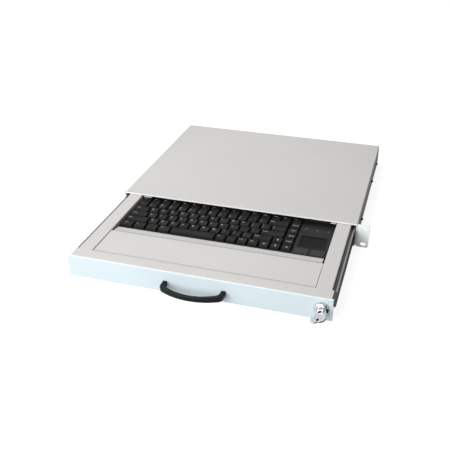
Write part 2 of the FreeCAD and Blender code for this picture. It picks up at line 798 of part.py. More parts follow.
def stem_places(x, y, width):
    """Where a key's stems stand: one in the middle, and one near each end of a wide key."""
    if width < wide_key_units * key_pitch:
        return [(x, y)]
    reach = width * wide_stem_share
    return [(x - reach, y), (x, y), (x + reach, y)]


def key_cap(x, y, width):
    """One key: a tapered cap and the stems under it."""
    half_x = (width - key_gap) / 2
    half_y = (key_pitch - key_gap) / 2
    foot = (x - half_x, x + half_x, y - half_y, y + half_y)
    face = (x - half_x + cap_side_taper, x + half_x - cap_side_taper, y - half_y + cap_front_taper,
            y + half_y - cap_rear_taper)
    cap = frustum(foot, face, cap_base, key_top)
    for u, v in stem_places(x, y, width):
        half = stem_side / 2
        cap = cap.fuse(block(u - half, u + half, v - half, v + half, stem_bottom, cap_base))
    return cap


def keys():
    """The keys, and the plate that guides their stems."""
    plate = block(bezel_wall - case_half, case_half - bezel_wall, case_front + bezel_wall, case_rear - bezel_wall,
                  guide_bottom, guide_top)
    holes = []
    half = stem_side / 2 + stem_gap
    for node, places in key_layout().items():
        save(node, *[key_cap(*place) for place in places])
        for u, v in [stem for place in places for stem in stem_places(*place)]:
            holes.append(block(u - half, u + half, v - half, v + half, guide_bottom - sheet, guide_top + sheet))
    save("key_guide_plate", plate.cut(Part.makeCompound(holes)))


def bezel():
    """The keyboard's black frame with its rear rim and the touch pad's plate, pad, buttons, lamps and board."""
    wall = bezel_wall
    shell = block(-case_half, case_half, case_front, case_rear, guide_bottom, bezel_top)
    pad_front = case_front + pad_plate_setback
    shell = shell.fuse(block(pad_left, case_half, pad_front, pad_rear, bezel_top, pad_plate_top))
    shell = shell.fuse(block(-case_half, case_half, field_rear, case_rear, bezel_top, rim_top))
    shell = shell.cut(block(wall - case_half, case_half - wall, case_front + wall, case_rear - wall,
                            guide_bottom, bezel_top - wall))
    shell = shell.cut(block(wall - case_half, case_half - wall, field_rear + wall, case_rear - wall,
                            guide_bottom, rim_top - wall))
    shell = shell.cut(block(pad_left + wall, case_half - wall, pad_front + wall, pad_rear - wall,
                            guide_bottom, pad_plate_top - wall))
    shell = shell.cut(block(field_x, nav_right, field_y, field_rear, guide_bottom, top))

    pad_x = (pad_middle - pad_width / 2, pad_middle + pad_width / 2)
    pad_y = (pad_rear - pad_setback - pad_depth, pad_rear - pad_setback)
    pocket_floor = pad_plate_top - pad_pocket
    ridge = pad_ridge
    rim = block(pad_x[0] - ridge, pad_x[1] + ridge, pad_y[0] - ridge, pad_y[1] + ridge,
                pad_plate_top, pad_plate_top + pad_ridge_height)
    shell = shell.fuse(rim).cut(block(*pad_x, *pad_y, pocket_floor, top))
    save("touchpad_surface", block(*pad_x, *pad_y, pocket_floor, pocket_floor + pad_sheet))

    board_front = case_front + wall + button_gap
    board = block(pad_left + wall, case_half - wall, board_front, pad_rear - wall, guide_top, guide_top + board_sheet)
    switch_base = guide_top + board_sheet
    button_y = (case_front + button_setback, case_front + button_setback + button_depth)
    for side, node in ((-1, "touchpad_button_left"), (1, "touchpad_button_right")):
        near = pad_middle + side * button_rib / 2
        far = near + side * button_width
        x0 = min(near, far)
        x1 = max(near, far)
        shell = shell.cut(block(x0, x1, *button_y, guide_top, top))
        gap = button_gap
        button_top = pad_plate_top + button_rise
        button = block(x0 + gap, x1 - gap, button_y[0] + gap, button_y[1] - gap, button_top - button_skirt, button_top)
        rims = [edge for edge in button.Edges if all(abs(v.Z - button_top) < 1e-6 for v in edge.Vertexes)]
        save(node, button.makeChamfer(button_rise, rims))
        mid_x = (x0 + x1) / 2
        mid_y = sum(button_y) / 2
        half = button_switch_side / 2
        board = board.fuse(block(mid_x - half, mid_x + half, mid_y - half, mid_y + half, switch_base,
                                 switch_base + button_switch))
    save("touchpad_board", board)

    lamps = []
    y = pad_rear - lamp_setback
    for k in (-1, 0, 1):
        x = pad_middle + k * lamp_pitch
        seat = (x - lamp_width / 2, x + lamp_width / 2, y - lamp_depth / 2, y + lamp_depth / 2)
        shell = shell.cut(block(*seat, pad_plate_top - 2 * wall, top))
        lamps.append(block(*seat, pad_plate_top - wall, pad_plate_top + lamp_proud))
    save("status_lamps", *lamps)
    save("keyboard_bezel", shell.removeSplitter())


os.makedirs("parts", exist_ok=True)
housing()
ears()
slides()
drawer()
front()
lock()
keyboard_case()
stack()
keys()
bezel()
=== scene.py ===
import json
import math
from collections import namedtuple

import bmesh
import bpy
from mathutils import Matrix, Vector
from mathutils.bvhtree import BVHTree


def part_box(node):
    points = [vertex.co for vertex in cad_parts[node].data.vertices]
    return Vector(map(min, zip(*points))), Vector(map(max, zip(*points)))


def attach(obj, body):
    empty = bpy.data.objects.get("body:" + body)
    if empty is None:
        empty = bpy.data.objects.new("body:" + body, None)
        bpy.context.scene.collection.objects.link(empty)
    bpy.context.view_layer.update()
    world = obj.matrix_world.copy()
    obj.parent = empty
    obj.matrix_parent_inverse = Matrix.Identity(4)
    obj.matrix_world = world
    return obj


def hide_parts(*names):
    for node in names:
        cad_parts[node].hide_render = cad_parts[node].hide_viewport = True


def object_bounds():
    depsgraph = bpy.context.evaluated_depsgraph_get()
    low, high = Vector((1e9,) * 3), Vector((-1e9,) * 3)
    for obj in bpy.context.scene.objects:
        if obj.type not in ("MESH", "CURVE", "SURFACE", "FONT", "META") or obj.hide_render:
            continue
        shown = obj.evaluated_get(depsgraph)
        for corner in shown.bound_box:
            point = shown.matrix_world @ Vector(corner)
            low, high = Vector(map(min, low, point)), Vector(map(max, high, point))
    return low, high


bl_info = {
    "name": "Rack Keyboard Drawer",
    "version": (1, 0, 0),
    "blender": (4, 5, 0),
    "location": "View3D > Sidebar > Keyboard Drawer",
    "description": "Dresses the packed keyboard drawer with its paint, key caps, legends and fittings",
    "category": "Object",
}

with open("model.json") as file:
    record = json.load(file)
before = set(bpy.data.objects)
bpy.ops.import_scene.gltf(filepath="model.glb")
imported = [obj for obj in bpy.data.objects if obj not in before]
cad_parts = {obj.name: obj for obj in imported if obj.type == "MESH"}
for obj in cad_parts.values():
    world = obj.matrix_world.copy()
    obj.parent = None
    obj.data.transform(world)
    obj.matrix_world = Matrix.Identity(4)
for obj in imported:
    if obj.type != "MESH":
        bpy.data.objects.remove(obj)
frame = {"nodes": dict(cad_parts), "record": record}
CAD_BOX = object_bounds()
NODES = frame["nodes"]
RECORD = frame["record"]
BODY_OF = {node: body for body, nodes in RECORD["behaviour"]["bodies"].items() for node in nodes}
SLOT_OF = {part["node"]: part["material_slot"] for part in RECORD["subparts"]}

# Lengths are in metres and angles in degrees.
WELD = 2e-6
FLAT_ANGLE = 0.5
EDGE_ANGLE = 25
SHARP_ANGLE = 40
ROUND_STEPS = 24

# The Mix node's colour sockets share their names with others, so they are taken by number.
MIX_FIRST = 6
MIX_SECOND = 7
MIX_RESULT = 2

# A band of another colour: its axis, its place there, its half width and the fade beside it.
Band = namedtuple("Band", "axis middle half fade colour")

LEGENDS = {
    "function_keys": ["Esc", *(f"F{number}" for number in range(1, 13)), "Num", "Prt", "Ins"],
    "number_keys": ["~ `", "! 1", "@ 2", "# 3", "$ 4", "% 5", "^ 6", "& 7", "* 8", "( 9", ") 0",
                    "_ -", "+ ="],
    "upper_letter_keys": [*"QWERTYUIOP", "{ [", "} ]", "| \\"],
    "home_letter_keys": [*"ASDFGHJKL", ": ;", "\" '"],
    "lower_letter_keys": [*"ZXCVBNM", "< ,", "> .", "? /"],
    "tab_key": ["Tab"],
    "caps_lock_key": ["Caps"],
    "enter_key": ["Enter"],
    "backspace_key": ["Back"],
    "left_shift_key": ["Shift"],
    "right_shift_key": ["Shift"],
    "space_bar": [""],
    "modifier_keys_left": ["Ctrl", "Fn", "", "Alt"],
    "modifier_keys_right": ["Alt", "", "Ctrl", "Del"],
    "arrow_keys": ["left", "down", "right", "up"],
    "navigation_keys": ["PgDn", "PgUp", "End", "Home"],
}


class FinishSettings(bpy.types.PropertyGroup):
    """Colours of the drawer's finishes."""

    paint: bpy.props.FloatVectorProperty(
        name="Paint", description="Powder coat of the housing and drawer", subtype="COLOR", size=3,
        default=(0.66, 0.645, 0.625), min=0, max=1)
    panel_paint: bpy.props.FloatVectorProperty(
        name="Panel paint", description="Cool white coat of the front panel", subtype="COLOR", size=3,
        default=(0.575, 0.655, 0.69), min=0, max=1)
    ear_paint: bpy.props.FloatVectorProperty(
        name="Ear paint", description="Pale coat of the rack ears", subtype="COLOR", size=3,
        default=(0.88, 0.92, 0.92), min=0, max=1)
    case_black: bpy.props.FloatVectorProperty(
        name="Case black", description="Plastic of the keyboard's case", subtype="COLOR", size=3,
        default=(0.009, 0.009, 0.0095), min=0, max=1)
    cap_black: bpy.props.FloatVectorProperty(
        name="Cap black", description="Plastic of the key caps", subtype="COLOR", size=3,
        default=(0.0075, 0.007, 0.0073), min=0, max=1)
    ink: bpy.props.FloatVectorProperty(
        name="Legend ink", description="Print on the key caps", subtype="COLOR", size=3,
        default=(0.66, 0.66, 0.645), min=0, max=1)
    slide_steel: bpy.props.FloatVectorProperty(
        name="Slide steel", description="Plated steel of the slides", subtype="COLOR", size=3,
        default=(0.19, 0.185, 0.187), min=0, max=1)
    chrome: bpy.props.FloatVectorProperty(
        name="Chrome", description="Plating of the lock", subtype="COLOR", size=3,
        default=(0.50, 0.52, 0.545), min=0, max=1)


class ShapeSettings(bpy.types.PropertyGroup):
    """Sizes of the rounded edges and small shapes."""

    cap_height: bpy.props.FloatProperty(
        name="Cap height", description="Height of a key cap above its stem", subtype="DISTANCE",
        unit="LENGTH", default=0.0056, min=0.001, max=0.02)
    cap_corner: bpy.props.FloatProperty(
        name="Cap corner", description="Round of a cap's upright corners", subtype="DISTANCE",
        unit="LENGTH", default=0.0016, min=0.0001, max=0.005)
    cap_dish: bpy.props.FloatProperty(
        name="Cap dish", description="How far the middle of a cap's face is hollowed", subtype="DISTANCE",
        unit="LENGTH", default=0.0004, min=0, max=0.002)
    sheet_edge: bpy.props.FloatProperty(
        name="Sheet edge", description="Round of the cut edges of the sheet metal", subtype="DISTANCE",
        unit="LENGTH", default=0.00025, min=0.00005, max=0.001)
    handle_edge: bpy.props.FloatProperty(
        name="Handle edge", description="Round along the bow handle", subtype="DISTANCE",
        unit="LENGTH", default=0.0009, min=0.0001, max=0.003)


class StageSettings(bpy.types.PropertyGroup):
    """Where the camera stands and how bright the lamps are."""

    lens: bpy.props.FloatProperty(
        name="Lens", description="Focal length of the camera", subtype="DISTANCE_CAMERA",
        default=53.98, min=10, max=300)
    camera_place: bpy.props.FloatVectorProperty(
        name="Camera place", description="Where the camera stands", subtype="XYZ", unit="LENGTH", size=3,
        default=(0.2990, -1.0449, 0.5923))
    camera_pitch: bpy.props.FloatProperty(
        name="Camera pitch", description="How far the camera looks down", subtype="ANGLE",
        default=math.radians(29.2))
    camera_turn: bpy.props.FloatProperty(
        name="Camera turn", description="How far the camera is turned to the left", subtype="ANGLE",
        default=math.radians(17.02))
    key_power: bpy.props.FloatProperty(
        name="Key lamp", description="Power of the large lamp at the front left", subtype="POWER",
        default=58, min=0)
    side_power: bpy.props.FloatProperty(
        name="Side lamp", description="Power of the lamp at the left", subtype="POWER",
        default=11, min=0)
    top_power: bpy.props.FloatProperty(
        name="Top lamp", description="Power of the lamp above the housing", subtype="POWER",
        default=2.2, min=0)
    sky_level: bpy.props.FloatProperty(
        name="Sky level", description="Mean strength of the soft light from all round",
        default=0.36, min=0)
    sky_lean: bpy.props.FloatProperty(
        name="Sky lean", description="How much stronger the soft light is at the left than in the middle",
        default=0.34, min=0, max=1)


class DrawerSettings(bpy.types.PropertyGroup):
    """All settings of the keyboard drawer."""

    finish: bpy.props.PointerProperty(type=FinishSettings)
    shape: bpy.props.PointerProperty(type=ShapeSettings)
    stage: bpy.props.PointerProperty(type=StageSettings)


def settings():
    """The drawer's settings in the scene."""
    return bpy.context.scene.keyboard_drawer


def scaled(colour, amount):
    """A colour made lighter or darker."""
    return tuple(min(1.0, max(0.0, c * amount)) for c in colour)


class Coat:
    """A material under construction: a Principled shader and the nodes that vary it."""

    def __init__(self, name, colour, roughness, metallic=0.0, specular=0.5):
        self.material = bpy.data.materials.new(name)
        self.material.use_nodes = True
        self.tree = self.material.node_tree
        self.shader = self.tree.nodes["Principled BSDF"]
        self.colour = tuple(colour)
        self.shader.inputs["Base Color"].default_value = (*self.colour, 1)
        self.shader.inputs["Roughness"].default_value = roughness
        self.shader.inputs["Metallic"].default_value = metallic
        self.shader.inputs["Specular IOR Level"].default_value = specular
        self.place = self.tree.nodes.new("ShaderNodeTexCoord").outputs["Object"]

    def link(self, a, b):
        self.tree.links.new(a, b)

    def spread(self, stretch):
        """Object coordinates stretched per axis."""
        node = self.tree.nodes.new("ShaderNodeMapping")
        node.inputs["Scale"].default_value = stretch
        self.link(self.place, node.inputs["Vector"])
        return node.outputs["Vector"]

    def noise(self, scale, detail, stretch=None):
        node = self.tree.nodes.new("ShaderNodeTexNoise")
        node.inputs["Scale"].default_value = scale
        node.inputs["Detail"].default_value = detail
        self.link(self.spread(stretch) if stretch else self.place, node.inputs["Vector"])
        return node.outputs["Fac"]

    def wave(self, scale, distortion, along="X"):
        node = self.tree.nodes.new("ShaderNodeTexWave")
        node.bands_direction = along
        node.inputs["Scale"].default_value = scale
        node.inputs["Distortion"].default_value = distortion
        self.link(self.place, node.inputs["Vector"])
        return node

    def distance(self, axis, middle):
        """How far a point is from a place on an axis."""
        parts = self.tree.nodes.new("ShaderNodeSeparateXYZ")
        offset = self.tree.nodes.new("ShaderNodeMath")
        offset.operation = "SUBTRACT"
        offset.inputs[1].default_value = middle
        far = self.tree.nodes.new("ShaderNodeMath")
        far.operation = "ABSOLUTE"
        self.link(self.place, parts.inputs["Vector"])
        self.link(parts.outputs[axis], offset.inputs[0])
        self.link(offset.outputs[0], far.inputs[0])
        return far.outputs[0]

    def remap(self, value, low, high, start=0.3, end=0.7):
        """A value that goes from low to high while another goes from start to end."""
        node = self.tree.nodes.new("ShaderNodeMapRange")
        node.inputs["From Min"].default_value = start
        node.inputs["From Max"].default_value = end
        node.inputs["To Min"].default_value = low
        node.inputs["To Max"].default_value = high
        self.link(value, node.inputs["Value"])
        return node.outputs["Result"]

    def mix(self, factor, first, second):
        """A blend of two colours by a factor; either colour may be an output of another node."""
        node = self.tree.nodes.new("ShaderNodeMix")
        node.data_type = "RGBA"
        self.link(factor, node.inputs["Factor"])
        for socket, value in ((node.inputs[MIX_FIRST], first), (node.inputs[MIX_SECOND], second)):
            if isinstance(value, bpy.types.NodeSocket):
                self.link(value, socket)
            else:
                socket.default_value = (*value, 1)
        return node.outputs[MIX_RESULT]

    def banded(self, base, bands):
        """Lays bands of other colours over a colour, each at a place on an axis."""
        for band in bands:
            far = self.distance(band.axis, band.middle)
            near = self.remap(far, 1, 0, start=band.half, end=band.half + band.fade)
            base = self.mix(near, base, band.colour)
        return base

    def shade(self, amount):
        return scaled(self.colour, amount)

    def tint(self, value):
        self.link(value, self.shader.inputs["Base Color"])

    def gloss(self, value):
        self.link(value, self.shader.inputs["Roughness"])

    def bump(self, height, distance, strength):
        node = self.tree.nodes.new("ShaderNodeBump")
        node.inputs["Strength"].default_value = strength
        node.inputs["Distance"].default_value = distance
        self.link(height, node.inputs["Height"])
        self.link(node.outputs["Normal"], self.shader.inputs["Normal"])


def powder_coat(name, colour, roughness=0.48, bands=()):
    """Fine textured paint: soft clouds of tone, a speckle and an orange-peel skin."""
    coat = Coat(name, colour, roughness, specular=0.3)
    clouds = coat.remap(coat.noise(scale=4.5, detail=3), 0, 1)
    speckle = coat.remap(coat.noise(scale=1500, detail=1), 0, 0.5)
    toned = coat.mix(clouds, coat.shade(0.965), coat.shade(1.025))
    coat.tint(coat.banded(coat.mix(speckle, toned, coat.shade(0.95)), bands))
    coat.gloss(coat.remap(coat.noise(scale=70, detail=2), roughness - 0.05, roughness + 0.06))
    coat.bump(coat.noise(scale=900, detail=2), distance=0.00012, strength=0.22)
    return coat.material


def rolled_steel(name, colour, roughness=0.36, grain=(900, 14, 900), bands=()):
    """Plated steel with rolling lines, dull patches and a faint lustre."""
    coat = Coat(name, colour, roughness, metallic=0.75)
    lines = coat.noise(scale=1, detail=4, stretch=grain)
    patches = coat.remap(coat.noise(scale=22, detail=3), 0, 1)
    toned = coat.mix(patches, coat.shade(0.86), coat.shade(1.12))
    coat.tint(coat.mix(coat.remap(lines, 0, 0.7), coat.banded(toned, bands), coat.shade(0.55)))
    coat.gloss(coat.remap(lines, roughness - 0.08, roughness + 0.12))
    coat.bump(lines, distance=0.00008, strength=0.2)
    return coat.material


def polished(name, colour, roughness=0.12):
    """Chrome or nickel plate with hairline scratches and a thin haze."""
    coat = Coat(name, colour, roughness, metallic=1.0)
    hairs = coat.noise(scale=1, detail=3, stretch=(2600, 160, 2600))
    haze = coat.remap(coat.noise(scale=120, detail=2), roughness - 0.04, roughness + 0.1)
    coat.tint(coat.mix(coat.remap(hairs, 0, 0.35), coat.shade(1.05), coat.shade(0.8)))
    coat.gloss(haze)
    coat.bump(hairs, distance=0.00002, strength=0.15)
    return coat.material


def moulded_black(name, colour, roughness=0.5, grain=2400, lift=0.00006, specular=0.2):
    """Black plastic from a spark-eroded mould: an even grain with shinier, handled patches."""
    coat = Coat(name, colour, roughness, specular=specular)
    patches = coat.remap(coat.noise(scale=55, detail=3), 0, 1)
    coat.tint(coat.mix(patches, coat.shade(0.82), coat.shade(1.25)))
    coat.gloss(coat.remap(coat.noise(scale=38, detail=2), roughness - 0.1, roughness + 0.08))
    coat.bump(coat.noise(scale=grain, detail=2), distance=lift, strength=0.35)
    return coat.material


def blackened_steel(name):
    """Black oxide with rubbed, greyer spots."""
    coat = Coat(name, (0.012, 0.012, 0.013), 0.42, metallic=0.6)
    rubbed = (0.05, 0.05, 0.052)
    spots = coat.remap(coat.noise(scale=420, detail=3), 0, 1, start=0.45, end=0.75)
    coat.tint(coat.mix(spots, coat.shade(0.8), rubbed))
    coat.gloss(coat.remap(coat.noise(scale=160, detail=2), 0.34, 0.52))
    coat.bump(coat.noise(scale=1800, detail=1), distance=0.00004, strength=0.25)
    return coat.material


def printed_ink(name, colour):
    """Matt legend print, a little worn."""
    coat = Coat(name, colour, 0.6, specular=0.25)
    worn = coat.remap(coat.noise(scale=700, detail=2), 0, 1)
    coat.tint(coat.mix(worn, coat.shade(0.86), coat.shade(1.05)))
    coat.gloss(coat.remap(coat.noise(scale=300, detail=1), 0.52, 0.68))
    return coat.material


def circuit_laminate(name):
    """Green board with lighter copper tracks under the resist."""
    coat = Coat(name, (0.02, 0.11, 0.045), 0.35)
    copper = (0.05, 0.23, 0.09)
    wave = coat.wave(scale=130, distortion=3.5)
    wave.inputs["Detail"].default_value = 1
    tracks = coat.remap(wave.outputs["Fac"], 0, 1, start=0.62, end=0.68)
    coat.tint(coat.mix(tracks, coat.colour, copper))
    coat.gloss(coat.remap(coat.noise(scale=90, detail=2), 0.28, 0.42))
    coat.bump(wave.outputs["Fac"], distance=0.00003, strength=0.2)
    return coat.material


def printed_film(name):
    """Switch film with printed silver tracks."""
    coat = Coat(name, (0.55, 0.57, 0.55), 0.3)
    silver = (0.33, 0.34, 0.35)
    wave = coat.wave(scale=52, distortion=0.6, along="Y")
    tracks = coat.remap(wave.outputs["Fac"], 0, 1, start=0.7, end=0.78)
    coat.tint(coat.mix(tracks, coat.colour, silver))
    coat.gloss(coat.remap(coat.noise(scale=60, detail=2), 0.24, 0.38))
    return coat.material


def silicone(name):
    """Milky rubber of the dome mat."""
    coat = Coat(name, (0.62, 0.62, 0.6), 0.55, specular=0.3)
    clouds = coat.remap(coat.noise(scale=80, detail=2), 0, 1)
    coat.tint(coat.mix(clouds, coat.shade(0.92), coat.shade(1.04)))
    coat.gloss(coat.remap(coat.noise(scale=140, detail=2), 0.48, 0.62))
    coat.bump(coat.noise(scale=600, detail=2), distance=0.00005, strength=0.2)
    return coat.material


def lamp_lens(name):
    """Milky, slightly glossy lamp window."""
    coat = Coat(name, (0.07, 0.075, 0.07), 0.22)
    clouds = coat.remap(coat.noise(scale=900, detail=2), 0, 1)
    coat.tint(coat.mix(clouds, coat.shade(0.85), coat.shade(1.15)))
    coat.gloss(coat.remap(coat.noise(scale=500, detail=1), 0.16, 0.28))
    return coat.material


def painted_light_bands(look):
    """Bands of painted shade and painted highlight laid over finishes where light and shade fall on them."""
    panel_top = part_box("front_panel")[1].z
    cover_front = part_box("top_cover")[0].y
    palm_low, palm_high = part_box("palm_rest")
    palm_slope = 0.0184
    channel_low, channel_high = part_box("slide_channel_right")
    # Painted shadow: the palm rest darkened just behind the step of the deck's front strip, where that step's
    # shade falls.
    painted_joint_shadow = scaled(look.paint, 0.74)
    # Painted shadow: the palm rest darkened at the crease where its slope towards the keyboard begins.
    painted_crease_shadow = scaled(look.paint, 0.60)
    # Painted highlight: the cover's folded front edge made lighter, as if it caught the lamp.
    rolled_edge = scaled(look.paint, 1.18)
    # Painted highlight: a pale line along the front panel's top edge.
    painted_panel_highlight = (0.82, 0.85, 0.86)
    # Painted light: the lower part of each slide made four times lighter, as if lit.
    painted_slide_light = scaled(look.slide_steel, 4.0)
    # Painted shadow: the top of each slide darkened, where the deck's edge shades it.
    painted_slide_shadow = scaled(look.slide_steel, 0.08)
    # Painted highlight: the outer edge of each slide, left and right, made lighter.
    painted_lip_highlight = scaled(look.slide_steel, 1.9)
    return {
        "cover": [Band("Y", cover_front, half=0.0012, fade=0.0004, colour=rolled_edge)],
        "palm": [Band("Y", palm_low.y, half=0.0016, fade=0.0026, colour=painted_joint_shadow),
                 Band("Y", palm_high.y - palm_slope, half=0.0014, fade=0.0010, colour=painted_crease_shadow)],
        "panel": [Band("Z", panel_top, half=0.0003, fade=0.0004, colour=painted_panel_highlight)],
        "slide": [Band("Z", channel_low.z, half=0.0030, fade=0.0020, colour=painted_slide_light),
                  Band("Z", channel_high.z, half=0.0003, fade=0.0006, colour=painted_slide_shadow),
                  Band("X", channel_high.x, half=0.0021, fade=0.0006, colour=painted_lip_highlight),
                  Band("X", -channel_high.x, half=0.0021, fade=0.0006, colour=painted_lip_highlight)],
    }


FINISHES = {}


def finish(name):
    """A finish, made once: that of one of the record's material slots, or a piece's own."""
    if name not in FINISHES:
        look = settings().finish
        # The cover, palm rest, panel and slide finishes carry bands of painted highlight and painted shade.
        bands = painted_light_bands(look)
        makers = {
            "painted_steel": lambda: powder_coat("powder_coat_grey", look.paint),
            "ear_paint": lambda: powder_coat("powder_coat_ear", look.ear_paint),
            "cover_paint": lambda: powder_coat("powder_coat_cover", look.paint, bands=bands["cover"]),
            "palm_paint": lambda: powder_coat("powder_coat_palm", look.paint, bands=bands["palm"]),
            "panel_paint": lambda: powder_coat(
                "powder_coat_panel", look.panel_paint, roughness=0.42, bands=bands["panel"]),
            "slide_steel": lambda: rolled_steel("rolled_slide_steel", look.slide_steel, bands=bands["slide"]),
            "zinc_steel": lambda: rolled_steel(
                "zinc_plate", (0.52, 0.53, 0.54), roughness=0.32, grain=(500, 500, 30)),
            "bright_steel": lambda: polished("bearing_steel", (0.7, 0.7, 0.71), roughness=0.1),
            "black_steel": lambda: blackened_steel("black_oxide"),
            # Matt black without shine for the blocks that paint the key's shadows.
            "painted_shadow_black": lambda: moulded_black(
                "painted_shadow_black", (0.006, 0.006, 0.0062), roughness=0.85, specular=0.02),
            "handle_plastic": lambda: moulded_black(
                "satin_black_handle", (0.0045, 0.005, 0.0055), roughness=0.4, grain=1600, lift=0.00005,
                specular=0.14),
            "lock_chrome": lambda: polished("lock_chrome", look.chrome),
            "key_chrome": lambda: polished("key_nickel", (0.55, 0.55, 0.56), roughness=0.26),
            "case_plastic": lambda: moulded_black(
                "case_black", look.case_black, roughness=0.55, grain=2200, lift=0.00008, specular=0.16),
            "keycap_plastic": lambda: moulded_black("cap_black", look.cap_black, specular=0.1),
            "button_plastic": lambda: moulded_black("button_black", (0.014, 0.014, 0.0145), roughness=0.4),
            "pad_plastic": lambda: moulded_black(
                "touch_film", (0.004, 0.0036, 0.0038), grain=3200, lift=0.00003, specular=0.08),
            "lamp_lens": lambda: lamp_lens("lamp_window"),
            "membrane_film": lambda: printed_film("switch_film"),
            "dome_rubber": lambda: silicone("dome_silicone"),
            "board_laminate": lambda: circuit_laminate("board_resist"),
            "legend_ink": lambda: printed_ink("legend_ink", look.ink),
        }
        FINISHES[name] = makers[name]()
    return FINISHES[name]


def dress(*nodes):
    """Gives CAD nodes that keep their shape the finish of their slot."""
    for node in nodes:
        data = NODES[node].data
        data.materials.clear()
        data.materials.append(finish(SLOT_OF[node]))


def as_data(name, mesh):
    """Turns a bmesh into mesh data and frees it."""
    data = bpy.data.meshes.new(name)
    mesh.to_mesh(data)
    mesh.free()
    return data


def pour(group, data):
    """Adds mesh data to a bmesh and removes the data."""
    group.from_mesh(data)
    bpy.data.meshes.remove(data)


def add_piece(name, mesh, body, slot, replaced=(), sharp=SHARP_ANGLE):
    """Makes an object of a bmesh, in its finish, moving with a body and standing for CAD nodes."""
    data = as_data(name, mesh)
    data.shade_smooth()
    data.set_sharp_from_angle(angle=math.radians(sharp))
    data.materials.append(finish(slot))
    piece = bpy.data.objects.new(name, data)
    bpy.context.scene.collection.objects.link(piece)
    evened = piece.modifiers.new("even shading", "WEIGHTED_NORMAL")
    evened.keep_sharp = True
    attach(piece, body)
    if replaced:
        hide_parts(*replaced)
    return piece


def welded_copy(node):
    """A CAD node's shape with its loose triangles joined."""
    mesh = bmesh.new()
    mesh.from_mesh(NODES[node].data)
    bmesh.ops.remove_doubles(mesh, verts=mesh.verts[:], dist=WELD)
    return mesh


def round_edges(mesh, offset, segments, angle):
    """Rounds every edge that is sharper than an angle and clears what the rounding leaves of no size."""
    limit = math.radians(angle)
    edges = [e for e in mesh.edges if len(e.link_faces) == 2 and e.calc_face_angle(0) > limit]
    bmesh.ops.bevel(mesh, geom=edges, offset=offset, offset_type="OFFSET", affect="EDGES",
                    segments=segments, profile=0.5, material=-1, clamp_overlap=True, loop_slide=True)
    bmesh.ops.remove_doubles(mesh, verts=mesh.verts[:], dist=WELD)
    bmesh.ops.dissolve_degenerate(mesh, edges=mesh.edges[:], dist=WELD)


def soften(node, offset, segments=2, angle=EDGE_ANGLE):
    """Replaces a CAD node by the same shape with whole flat faces and rounded edges."""
    mesh = welded_copy(node)
    bmesh.ops.dissolve_limit(mesh, angle_limit=math.radians(FLAT_ANGLE), verts=mesh.verts[:],
                             edges=mesh.edges[:])
    round_edges(mesh, offset, segments, angle)
    return add_piece(node + "_shell", mesh, BODY_OF[node], SLOT_OF[node], [node])


def islands(node):
    """The boxes of a CAD node's separate solids, from the front left to the back right."""
    mesh = welded_copy(node)
    left = set(mesh.verts)
    boxes = []
    while left:
        stack = [left.pop()]
        points = []
        while stack:
            vert = stack.pop()
            points.append(vert.co.copy())
            for edge in vert.link_edges:
                other = edge.other_vert(vert)
                if other in left:
                    left.remove(other)
                    stack.append(other)
        low = Vector([min(p[k] for p in points) for k in range(3)])
        high = Vector([max(p[k] for p in points) for k in range(3)])
        boxes.append((low, high))
    mesh.free()
    return sorted(boxes, key=lambda box: (round(box[0].y, 3), box[0].x, box[0].z))


